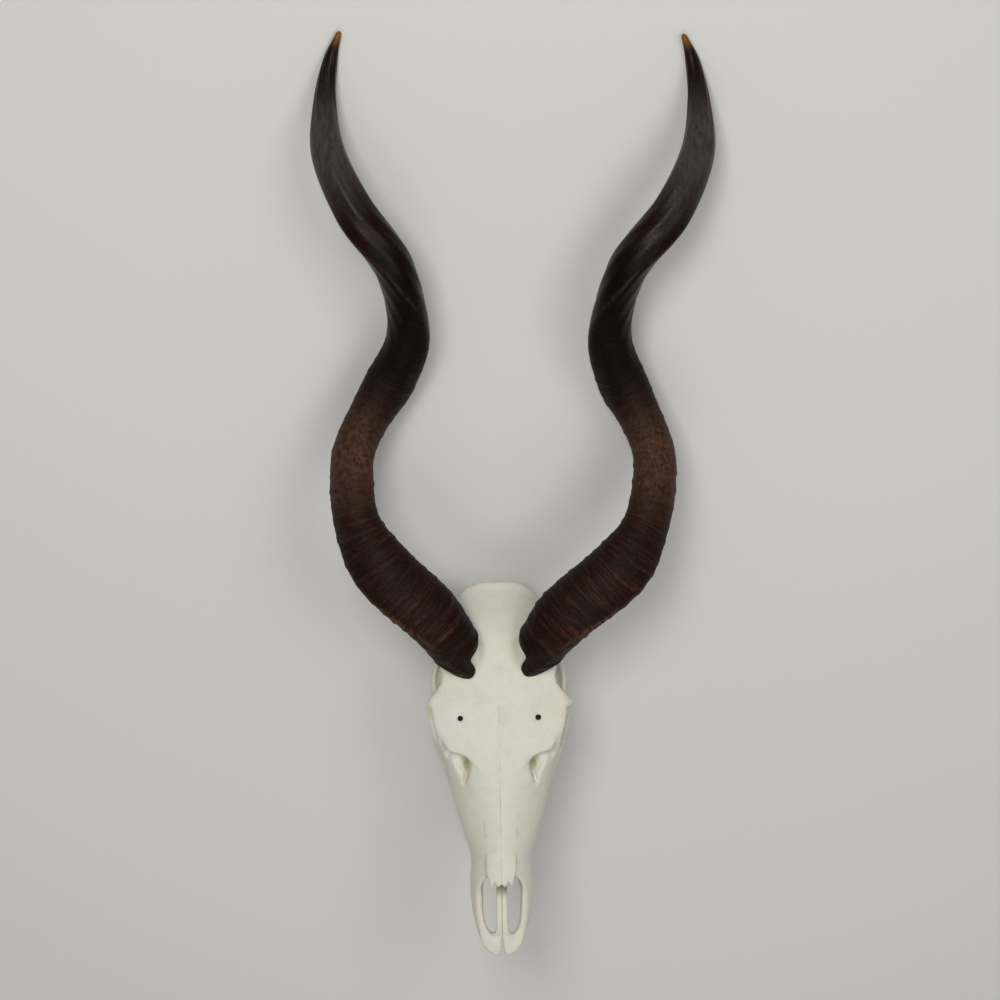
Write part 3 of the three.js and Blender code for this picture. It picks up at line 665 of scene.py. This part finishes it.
def horn_radius(size, far, angle, near, rings, length):
    """How far the skin is from the centre line: body, keel, rings, furrows, and rounded ends."""
    fade = np.clip((length - far) / FURROW_FADE, 0, 1)
    smooth_part = np.clip((far - FURROW_START) / FURROW_GROWTH, 0, 1)
    furrows = FURROW_DEPTH * np.sin(angle * 9 + 0.6 * np.sin(far / 70)) * smooth_part * fade
    worn = np.exp(-(((far - WORN_MIDDLE) / WORN_LENGTH) ** 2))
    lumps = 0.8 * np.sin(far / 9 + 2 * angle) * worn * np.exp(-(near / 1.1) ** 2)
    body = size[:, :1] * (1 + 0.04 * np.cos(2 * angle))
    radius = body + size[:, 1:2] * np.exp(-((near / 0.5) ** 1.6))
    radius = radius - RING_BED * np.clip(1 - far / RING_BED_LENGTH, 0, 1) + rings + furrows + lumps
    base = np.clip(1 - far / BASE_ROUNDING[0], 0, 1)
    radius = radius - BASE_ROUNDING[1] * base**2
    tip = np.clip((length - far) / TIP_ROUNDING, 0, 1)
    return radius * np.sqrt(1 - (1 - tip) ** 2)


def base_tongue(far, angle):
    """How the corners near the base are moved towards the forehead's middle."""
    near_base = np.clip(1 - far / LOBE_LENGTH, 0, 1) ** 1.5
    inward, forward = lobe_share(angle, 2) * near_base, lobe_share(angle, 11) * near_base
    return np.stack([inward, forward, np.maximum(inward, forward)], -1) * LOBE


def horn(name, points, seed, mirror):
    """One horn with its keel, ring ridges and the tongue of its base."""
    along, centre, size, front, outer, length = horn_frame(points)
    angle = np.linspace(0, 2 * math.pi, HORN_CORNERS, endpoint=False)[None, :]
    near = np.minimum(angle, 2 * math.pi - angle)
    far = along[:, None]
    rings = growth_rings(far, angle, seed)
    radius = horn_radius(size, far, angle, near, rings, length)
    turn = np.radians(size[:, 2:3]) + angle
    spots = (centre[:, None] + base_tongue(far, angle)
             + front[:, None] * (radius * np.cos(turn))[..., None]
             + outer[:, None] * (radius * np.sin(turn))[..., None])
    skin = np.vstack([spots.reshape(-1, 3), spots[0].mean(0), centre[-1]])
    faces = tube_faces(len(along), HORN_CORNERS)
    if mirror:
        skin = skin * (-1, 1, 1)
        faces = [f[::-1] for f in faces]
    made = add_mesh(name, skin, faces)
    keel = np.exp(-((near / 0.35) ** 2)) * np.ones_like(far)
    add_values(made, "along", np.append(np.repeat(along, HORN_CORNERS), [0, length]))
    add_values(made, "to_tip", np.append(np.repeat(length - along, HORN_CORNERS), [length, 0]))
    add_values(made, "ridge", np.append(rings.ravel(), [0, 0]))
    add_values(made, "keel", np.append(keel.ravel(), [0, 0]))
    return made


def tube_faces(rows, corners):
    """Faces of a closed tube whose two last points are the middles of its ends."""
    faces = []
    for r in range(rows - 1):
        for s in range(corners):
            a, b = r * corners + s, r * corners + (s + 1) % corners
            faces.append((b, a, a + corners, b + corners))
    first, last = rows * corners, rows * corners + 1
    end = (rows - 1) * corners
    for s in range(corners):
        following = (s + 1) % corners
        faces.append((first, s, following))
        faces.append((last, end + following, end + s))
    return faces


# The teeth

TEETH = [  # name, length along the row and width
    ("molar_3", 20.5, 19.5), ("molar_2", 21, 20.5), ("molar_1", 18.5, 19),
    ("premolar_4", 14, 17.5), ("premolar_3", 14, 15.5), ("premolar_2", 12.5, 12.5),
]
TOOTH_GAP = 0.5
ROW_ENDS = (-57.0, -161)  # back and front
ROW_SIDES = (38.5, 31.5)  # distance from the middle, at the back and at the front
CROWN_BACK = -118.5
CROWN_RISE = 10


def tooth_row():
    """Every cheek tooth's name, size and place on the animal's left side."""
    back, front = ROW_ENDS
    y, row = back, []
    for name, length, width in TEETH:
        middle = y - length / 2
        y -= length + TOOTH_GAP
        share = (middle - back) / (front - back)
        side = ROW_SIDES[0] + (ROW_SIDES[1] - ROW_SIDES[0]) * share**1.4
        row.append({"name": name, "length": length, "width": width, "y": middle,
                    "x": side, "crown": CROWN_BACK + CROWN_RISE * share})
    return row


TOOTH_OUTLINE = [
    (-0.5, -0.34), (-0.25, -0.5), (0, -0.36), (0.25, -0.5), (0.5, -0.34), (0.52, 0.1),
    (0.46, 0.42), (0.25, 0.4), (0, 0.5), (-0.25, 0.4), (-0.46, 0.42), (-0.52, 0.1),
]


def tooth_levels(crown):
    """Height, share of the outline and share of the cusps' wave, from the root to the worn hollow."""
    return [
        (-93, 0.84, 0), (-97, 0.94, 0), (-101, 0.99, 0), (-106, 1.0, 0),
        (crown + 4, 0.985, 0), (crown + 1.4, 0.97, 0), (crown + 0.3, 0.94, 0.5), (crown, 0.9, 1),
        (crown + 0.5, 0.84, 1), (crown + 1.6, 0.76, 0.8), (crown + 1.2, 0.6, 0.5),
        (crown + 0.6, 0.46, 0.4), (crown + 2.2, 0.34, 0.2), (crown + 3.0, 0.16, 0),
    ]


def tooth(name, spec, mirror):
    """A cheek tooth: ribbed walls, and a chewing surface worn hollow between raised enamel edges."""
    outline = np.array(TOOTH_OUTLINE)
    outline = curve_points(np.vstack([outline, outline[:1]]), 6)[:-1]
    levels = tooth_levels(spec["crown"])
    rows = []
    for z, share, wave in levels:
        lift = wave * 0.9 * np.cos(outline[:, 0] * 4 * math.pi)
        rows.append(np.stack([spec["x"] + outline[:, 1] * spec["width"] * share,
                              spec["y"] + outline[:, 0] * spec["length"] * share,
                              z + lift], 1))
    points = np.vstack([*rows, rows[0].mean(0), rows[-1].mean(0)])
    faces = [f[::-1] for f in tube_faces(len(levels), len(outline))]
    if not mirror:
        return finish_tooth(name, points, faces)
    return finish_tooth(name, points * (-1, 1, 1), [f[::-1] for f in faces])


def finish_tooth(name, points, faces):
    """The tooth as an object with rounded edges."""
    made = add_mesh(name, points, faces)
    made.modifiers.new("rounding", "SUBSURF").levels = 1
    made.modifiers["rounding"].render_levels = 1
    return made


# Materials


class Nodes:
    """Short ways to lay out a material's nodes."""

    def __init__(self, name):
        self.material = bpy.data.materials.new(name)
        self.material.use_nodes = True
        self.tree = self.material.node_tree
        self.shader = self.tree.nodes["Principled BSDF"]

    def node(self, kind, **values):
        made = self.tree.nodes.new(kind)
        for key, value in values.items():
            setattr(made, key, value)
        return made

    def put(self, socket, value):
        if isinstance(value, bpy.types.NodeSocket):
            self.tree.links.new(value, socket)
        else:
            socket.default_value = value

    def value(self, name, vector=False):
        made = self.node("ShaderNodeAttribute", attribute_name=name)
        return made.outputs["Vector" if vector else "Fac"]

    def math(self, operation, a, b=0.0, clamp=False):
        made = self.node("ShaderNodeMath", operation=operation, use_clamp=clamp)
        self.put(made.inputs[0], a)
        self.put(made.inputs[1], b)
        return made.outputs[0]

    def range(self, value, low, high, to_low=0.0, to_high=1.0, smooth=True):
        made = self.node("ShaderNodeMapRange", interpolation_type="SMOOTHSTEP" if smooth else "LINEAR")
        for socket, given in zip(made.inputs, (value, low, high, to_low, to_high)):
            self.put(socket, given)
        return made.outputs[0]

    def mix(self, share, a, b, blend="MIX"):
        made = self.node("ShaderNodeMix", data_type="RGBA", blend_type=blend)
        self.put(made.inputs[0], share)
        self.put(made.inputs[6], a)
        self.put(made.inputs[7], b)
        return made.outputs[2]

    def stretch(self, vector, scale):
        made = self.node("ShaderNodeMapping")
        self.put(made.inputs["Vector"], vector)
        made.inputs["Scale"].default_value = scale
        return made.outputs[0]

    def noise(self, vector, size, detail=4.0, roughness=0.55, twist=0.0):
        made = self.node("ShaderNodeTexNoise")
        self.put(made.inputs["Vector"], vector)
        made.inputs["Scale"].default_value = 1 / size
        made.inputs["Detail"].default_value = detail
        made.inputs["Roughness"].default_value = roughness
        made.inputs["Distortion"].default_value = twist
        return made.outputs["Fac"]

    def bump(self, height, distance, strength=1.0, normal=None):
        made = self.node("ShaderNodeBump")
        self.put(made.inputs["Height"], height)
        made.inputs["Distance"].default_value = distance * MM
        made.inputs["Strength"].default_value = strength
        if normal is not None:
            self.put(made.inputs["Normal"], normal)
        return made.outputs[0]


def colour(red, green, blue):
    """A colour given as it looks on a screen, 0 to 255, for the renderer."""
    return tuple((v / 255) ** 2.2 for v in (red, green, blue)) + (1.0,)


def bone_material():
    n = Nodes("bone")
    home = n.value("home", vector=True)
    parts = n.node("ShaderNodeSeparateXYZ")
    n.put(parts.inputs[0], home)
    x, y, z = parts.outputs
    patches = n.range(n.noise(home, 42, 3), 0.4, 0.62)
    small = n.range(n.noise(home, 9, 4), 0.35, 0.7)
    base = n.mix(patches, colour(229, 227, 217), colour(231, 226, 209))
    base = n.mix(n.math("MULTIPLY", small, 0.3), base, colour(216, 213, 200))
    grey = n.range(n.noise(home, 27, 3, 0.6, 0.4), 0.5, 0.68)
    base = n.mix(n.math("MULTIPLY", grey, 0.35), base, colour(210, 212, 205))
    # Painted shade: the bone turns olive, then darker, where it lies deep in a pocket or hollow.
    hollow = n.value("hollow")
    base = n.mix(n.range(hollow, 0.15, 0.7, 0, 0.85), base, colour(172, 163, 124))
    base = n.mix(n.range(hollow, 0.55, 1.0, 0, 0.85), base, colour(106, 97, 67))
    suture = suture_lines(n, x, y, z, home)
    base = n.mix(n.math("MULTIPLY", suture, 0.34), base, colour(150, 141, 118))
    base = n.mix(muzzle_line(n, x, y), base, colour(104, 96, 78))
    # Painted shade inside the small holes over the eyes
    base = n.mix(brow_hole_shade(n, x, y, z), base, colour(42, 40, 28))
    # Painted shade on the nose's floor, under the tips of the nose bones
    base = n.mix(nose_floor_shade(n, x, y, z), base, colour(112, 104, 76))
    pores = n.node("ShaderNodeTexVoronoi", feature="F1")
    n.put(pores.inputs["Vector"], home)
    pores.inputs["Scale"].default_value = 1 / 1.7
    pits = n.range(pores.outputs["Distance"], 0.05, 0.3, 1, 0)
    pitted = n.math("MULTIPLY", pits, n.range(n.noise(home, 16, 2), 0.58, 0.72))
    base = n.mix(n.math("MULTIPLY", pitted, 0.3), base, colour(172, 162, 138))
    n.put(n.shader.inputs["Base Color"], base)
    n.put(n.shader.inputs["Roughness"], n.range(n.noise(home, 12, 3), 0.3, 0.7, 0.5, 0.68))
    n.shader.inputs["Specular IOR Level"].default_value = 0.3
    n.shader.inputs["Subsurface Weight"].default_value = 0.06
    n.shader.inputs["Subsurface Radius"].default_value = (0.004, 0.003, 0.002)
    n.shader.inputs["Subsurface Scale"].default_value = 0.6
    grain = n.noise(n.stretch(home, (1, 0.3, 1)), 2.2, 5, 0.6)
    coarse = n.noise(home, 11, 3)
    height = n.math("ADD", n.math("MULTIPLY", grain, 0.35), coarse)
    height = n.math("SUBTRACT", height, n.math("MULTIPLY", suture, 0.6))
    height = n.math("SUBTRACT", height, n.math("MULTIPLY", pitted, 0.5))
    n.put(n.shader.inputs["Normal"], n.bump(height, 0.7, 0.5))
    return n.material


def muzzle_line(n, x, y):
    """The closed seam between the muzzle's two halves, as far as their notch."""
    seam = n.range(n.math("ABSOLUTE", x), 0.2, 0.65, 0.7, 0)
    return n.math("MULTIPLY", seam, n.range(y, -220, -212, 1, 0))


def nose_floor_shade(n, x, y, z):
    """Painted shade on the floor of the nose, under the tips of its bones."""
    along = n.math("MULTIPLY", n.range(y, -226, -208, 0, 0.8), n.range(y, -190, -180, 1, 0))
    across = n.range(n.math("ABSOLUTE", x), 6, 12, 1, 0)
    return n.math("MULTIPLY", n.math("MULTIPLY", along, across), n.range(z, -44, -38, 1, 0))


def brow_hole_shade(n, x, y, z):
    """Painted shade: the inside of the pair of small holes over the eyes is coloured dark."""
    dx = n.math("SUBTRACT", n.math("ABSOLUTE", x), BROW_HOLE[0])
    dy = n.math("SUBTRACT", y, BROW_HOLE[1])
    apart = n.math("SQRT", n.math("ADD", n.math("MULTIPLY", dx, dx), n.math("MULTIPLY", dy, dy)))
    inside = n.math("MULTIPLY", n.range(apart, 2.6, 3.8, 1, 0), n.range(z, -16, -13))
    return n.math("MULTIPLY", inside, n.range(z, -3.6, -2.2, 1, 0))


def suture_lines(n, x, y, z, home):
    """Where two bones meet: a fine wandering line along the forehead and nose, broken here and there."""
    sway = n.math("MULTIPLY", n.math("SUBTRACT", n.noise(home, 5, 4, 0.65), 0.5), 5.5)
    across = n.math("ADD", x, sway)
    side = n.math("ABSOLUTE", across)
    front = n.range(z, -34, -26)
    middle = n.math("MULTIPLY", n.range(side, 0.2, 0.8, 1, 0), n.range(y, 8, 20, 1, 0))
    edge = n.range(y, -200, -80, 16.6, 19.5, smooth=False)
    nasal = n.range(n.math("ABSOLUTE", n.math("SUBTRACT", side, edge)), 0.25, 0.8, 1, 0)
    nasal = n.math("MULTIPLY", nasal, n.range(y, -130, -112, 1, 0))
    both = n.math("MULTIPLY", n.math("MAXIMUM", middle, nasal), n.range(n.noise(home, 21, 3), 0.42, 0.6))
    return n.math("MULTIPLY", both, front)


def horn_material():
    n = Nodes("horn")
    home = n.value("home", vector=True)
    along, ridge, keel, to_tip = n.value("along"), n.value("ridge"), n.value("keel"), n.value("to_tip")
    bands = n.noise(along_vector(n, along, home), 2.4, 4, 0.68)
    fine = n.range(n.noise(home, 3.2, 5, 0.65), 0.34, 0.68)
    lower = n.range(along, 300, 450, 1, 0)
    base = n.mix(fine, colour(21, 11, 8), colour(41, 23, 15))
    lines = n.math("MULTIPLY", n.range(bands, 0.5, 0.66), lower)
    plain_root = n.range(along, 8, 60, 0.25, 1)
    base = n.mix(n.math("MULTIPLY", lines, n.math("MULTIPLY", plain_root, 0.5)), base, colour(76, 42, 28))
    # Painted shade: near black in the band noise's grooves, which the bump also sinks.
    painted_groove_shade = n.math("MULTIPLY", n.range(bands, 0.34, 0.44, 1, 0), lower)
    base = n.mix(n.math("MULTIPLY", painted_groove_shade, 0.6), base, colour(11, 7, 6))
    # Painted highlight: the tops of the ring ridges are coloured a lighter reddish brown, in streaks.
    streaks = n.range(n.noise(home, 9, 4, 0.6), 0.4, 0.64)
    streaked = n.math("ADD", n.math("MULTIPLY", streaks, 0.5), 0.12)
    crest_sheen = n.math("MULTIPLY", n.range(ridge, 0.4, 2.0), streaked)
    crest_sheen = n.math("MULTIPLY", crest_sheen, plain_root)
    base = n.mix(n.math("MULTIPLY", crest_sheen, lower), base, colour(92, 56, 40))
    # Lighter still on the tops of the strongest ridges: wear there, with a painted highlight on it.
    worn = n.math("MULTIPLY", n.range(ridge, 1.4, 2.6), n.range(n.noise(home, 5, 4, 0.6), 0.5, 0.66))
    worn = n.math("MULTIPLY", worn, plain_root)
    base = n.mix(n.math("MULTIPLY", worn, n.math("MULTIPLY", lower, 0.5)), base, colour(132, 96, 72))
    tan = n.mix(n.range(n.noise(home, 6, 5, 0.65), 0.35, 0.65), colour(60, 39, 29), colour(93, 66, 50))
    brown = n.range(n.math("ABSOLUTE", n.math("SUBTRACT", along, TAN_ZONE)), 8, 84, 1, 0)
    base = n.mix(n.math("MULTIPLY", brown, 0.72), base, tan)
    # Painted shade: the horn's dark waist is coloured near black.
    painted_shade_waist = n.range(n.math("ABSOLUTE", n.math("SUBTRACT", along, DARK_WAIST)), 50, 120, 1, 0)
    base = n.mix(n.math("MULTIPLY", painted_shade_waist, 0.85), base, colour(10, 7, 5))
    long_noise = n.noise(n.stretch(home, (1, 0.25, 1)), 4, 4, 0.6)
    # Painted sheen: a lighter satin grey band, about 45 to 225 mm below the tip.
    painted_sheen = n.mix(n.range(long_noise, 0.3, 0.65), colour(60, 54, 49), colour(76, 71, 65))
    upper = n.math("MULTIPLY", n.range(to_tip, 45, 115), n.range(to_tip, 140, 225, 1, 0))
    base = n.mix(n.math("MULTIPLY", upper, 0.85), base, painted_sheen)
    # The keel's crest, lighter in a thin broken line: wear along it, and a painted highlight.
    keel_wear_and_highlight = n.math("MULTIPLY", n.math("POWER", keel, 16.0), n.range(long_noise, 0.34, 0.56))
    keel_wear_and_highlight = n.math("MULTIPLY", keel_wear_and_highlight, n.range(along, 300, 480, 0.5, 0.14))
    keel_wear_and_highlight = n.math("MULTIPLY", keel_wear_and_highlight, n.range(along, 20, 70))
    base = n.mix(keel_wear_and_highlight, base, colour(118, 88, 70))
    scratches = n.range(n.noise(n.stretch(home, (1, 0.12, 0.5)), 1.6, 3, 0.6), 0.6, 0.72)
    base = n.mix(n.math("MULTIPLY", scratches, n.math("MULTIPLY", brown, 0.4)), base, colour(140, 112, 94))
    base = n.mix(n.range(to_tip, 4, 21, 0.95, 0), base, colour(124, 88, 46))
    n.put(n.shader.inputs["Base Color"], base)
    rough = n.range(along, 330, 520, 0.58, 0.33)
    rough = n.math("ADD", rough, n.math("MULTIPLY", n.math("SUBTRACT", n.noise(home, 6, 3), 0.5), 0.2))
    n.put(n.shader.inputs["Roughness"], rough)
    n.shader.inputs["Specular IOR Level"].default_value = 0.14
    grain = n.noise(home, 2.4, 5, 0.6)
    low_relief = n.math("MULTIPLY", bands, n.range(along, 260, 460, 1.0, 0.2))
    height = n.math("ADD", low_relief, n.math("MULTIPLY", grain, 0.4))
    n.put(n.shader.inputs["Normal"], n.bump(height, 1.0, 0.75))
    return n.material


def along_vector(n, along, home):
    """Coordinates that change fast along the horn and slowly round it, for fine rings."""
    parts = n.node("ShaderNodeSeparateXYZ")
    n.put(parts.inputs[0], home)
    made = n.node("ShaderNodeCombineXYZ")
    n.put(made.inputs[0], along)
    n.put(made.inputs[1], n.math("MULTIPLY", parts.outputs[0], 0.09))
    n.put(made.inputs[2], n.math("MULTIPLY", parts.outputs[2], 0.09))
    return made.outputs[0]


def tooth_material():
    n = Nodes("tooth")
    home = n.value("home", vector=True)
    stains = n.range(n.noise(home, 5, 4), 0.42, 0.66)
    base = n.mix(stains, colour(221, 209, 178), colour(176, 150, 104))
    bands = n.range(n.noise(n.stretch(home, (1, 1, 0.25)), 1.6, 3), 0.45, 0.7)
    base = n.mix(n.math("MULTIPLY", bands, 0.4), base, colour(120, 92, 60))
    n.put(n.shader.inputs["Base Color"], base)
    n.put(n.shader.inputs["Roughness"], n.range(stains, 0, 1, 0.25, 0.5))
    n.put(n.shader.inputs["Normal"], n.bump(n.noise(n.stretch(home, (1, 1, 0.3)), 1.5, 4), 0.4, 0.6))
    return n.material


def floor_material():
    n = Nodes("floor")
    n.put(n.shader.inputs["Base Color"], colour(224, 224, 221))
    n.shader.inputs["Roughness"].default_value = 0.9
    return n.material


# The scene


HOLLOW_REACH = 7  # how many grid cells around a vertex are counted
HOLLOW_FROM, HOLLOW_SPAN = 0.5, 0.32  # share of solid cells where the shade starts, and its range


def painted_hollow_shade(points, f):
    """How deep each vertex lies in a pocket of the bone, from 0 outside to 1 in the deepest: the strength of
    the painted shade in its hollows.
    """
    grid = np.concatenate([f.value[:0:-1], f.value]) < 0
    reach = HOLLOW_REACH
    total = np.pad(grid.astype(np.float32), reach + 1)
    for axis in range(3):
        total = np.cumsum(total, axis=axis)
    low = (-f.x[-1], f.y[0], f.z[0])
    index = np.rint((points - low) / f.cell).astype(int) + reach + 1
    solid_cells = np.zeros(len(points))
    sizes = np.array(total.shape) - 1
    for corner in range(8):
        sign, spot = 1, []
        for axis in range(3):
            upper = corner >> axis & 1
            sign *= 1 if upper else -1
            spot.append(np.clip(index[:, axis] + (reach if upper else -reach - 1), 0, sizes[axis]))
        solid_cells += sign * total[tuple(spot)]
    share = solid_cells / (2 * reach + 1) ** 3
    return np.clip((share - HOLLOW_FROM) / HOLLOW_SPAN, 0, 1)


def build_skull():
    f = skull_field()
    points, faces = surface(f)
    points = smoothed(points, faces)
    made = add_mesh("skull_bone", points, faces)
    # How strongly the painted shade darkens each vertex in the bone's hollows
    shade = smoothed(painted_hollow_shade(points, f)[:, None], faces, 4, 0.8)
    add_values(made, "hollow", shade[:, 0])
    return made


def add_piece(piece, material, nodes):
    piece.data.materials.append(material)
    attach(piece, "root")
    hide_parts(*nodes)


def add_floor():
    bpy.ops.mesh.primitive_plane_add(size=8, location=(0, 0, 0))
    floor = bpy.context.object
    floor.name = "floor"
    floor.data.materials.append(floor_material())


def add_light(name, spot, aim, size, power):
    light = bpy.data.lights.new(name, "AREA")
    light.size = size
    light.energy = power
    light.color = (1.0, 0.985, 0.96)
    obj = bpy.data.objects.new(name, light)
    obj.location = spot
    obj.rotation_euler = (Vector(aim) - Vector(spot)).to_track_quat("-Z", "Y").to_euler()
    bpy.context.scene.collection.objects.link(obj)


PHOTO_SIZE = 1000
PHOTO_SCALE = 1.11  # mm a pixel
PHOTO_MIDDLE_ROW = 500
ORIGIN_ROW = 705  # the photo's row of the skull frame's zero
MIDDLE_X = 4.2  # the photo's middle column, in the skull's frame
PHOTO_ROLL = 0.8
SENSOR = 36


def add_camera():
    """Square to the face, as the photo looks at it, and rolled as the object hangs in it."""
    face_normal = Vector((0, math.sin(REST_TILT), math.cos(REST_TILT)))
    up = Vector((0, math.cos(REST_TILT), -math.sin(REST_TILT)))
    roll = math.radians(PHOTO_ROLL)
    aim = Vector(to_row([(MIDDLE_X, (ORIGIN_ROW - PHOTO_MIDDLE_ROW) * PHOTO_SCALE, 0)])[0])
    distance = 3.0
    camera = bpy.data.cameras.new("camera")
    camera.sensor_width = SENSOR
    camera.lens = SENSOR * distance / (PHOTO_SIZE * PHOTO_SCALE * MM)
    obj = bpy.data.objects.new("camera", camera)
    right = up.cross(face_normal)
    turned_up = up * math.cos(roll) + right * math.sin(roll)
    turned_right = turned_up.cross(face_normal)
    place = Matrix((turned_right, turned_up, face_normal)).transposed().to_4x4()
    place.translation = aim + face_normal * distance
    obj.matrix_world = place
    bpy.context.scene.collection.objects.link(obj)
    bpy.context.scene.camera = obj


def add_world():
    world = bpy.data.worlds.new("studio")
    world.use_nodes = True
    world.node_tree.nodes["Background"].inputs[0].default_value = (1.0, 0.985, 0.95, 1)
    world.node_tree.nodes["Background"].inputs[1].default_value = 0.22
    bpy.context.scene.world = world


add_piece(build_skull(), bone_material(), ["skull"])
keratin = horn_material()
add_piece(horn("horn_left_keratin", LEFT_HORN_LINE, 11, True), keratin, ["horn_left"])
add_piece(horn("horn_right_keratin", RIGHT_HORN_LINE, 4, False), keratin, ["horn_right"])
enamel = tooth_material()
for spec in tooth_row():
    for side, mirror in (("left", False), ("right", True)):
        node = f"tooth_{spec['name']}_{side}"
        add_piece(tooth(f"{node}_crown", spec, mirror), enamel, [node])

add_floor()
add_world()
add_light("key", (-0.45, 1.5, 2.7), (0, 0, 0.1), 0.9, 36)
add_light("right", (1.3, 0.9, 2.5), (0, 0, 0.1), 1.2, 14)
add_light("front", (0, -1.2, 2.6), (0, -0.1, 0), 1.6, 11)
add_camera()

view_settings = bpy.context.scene.view_settings
view_settings.view_transform = "Standard"
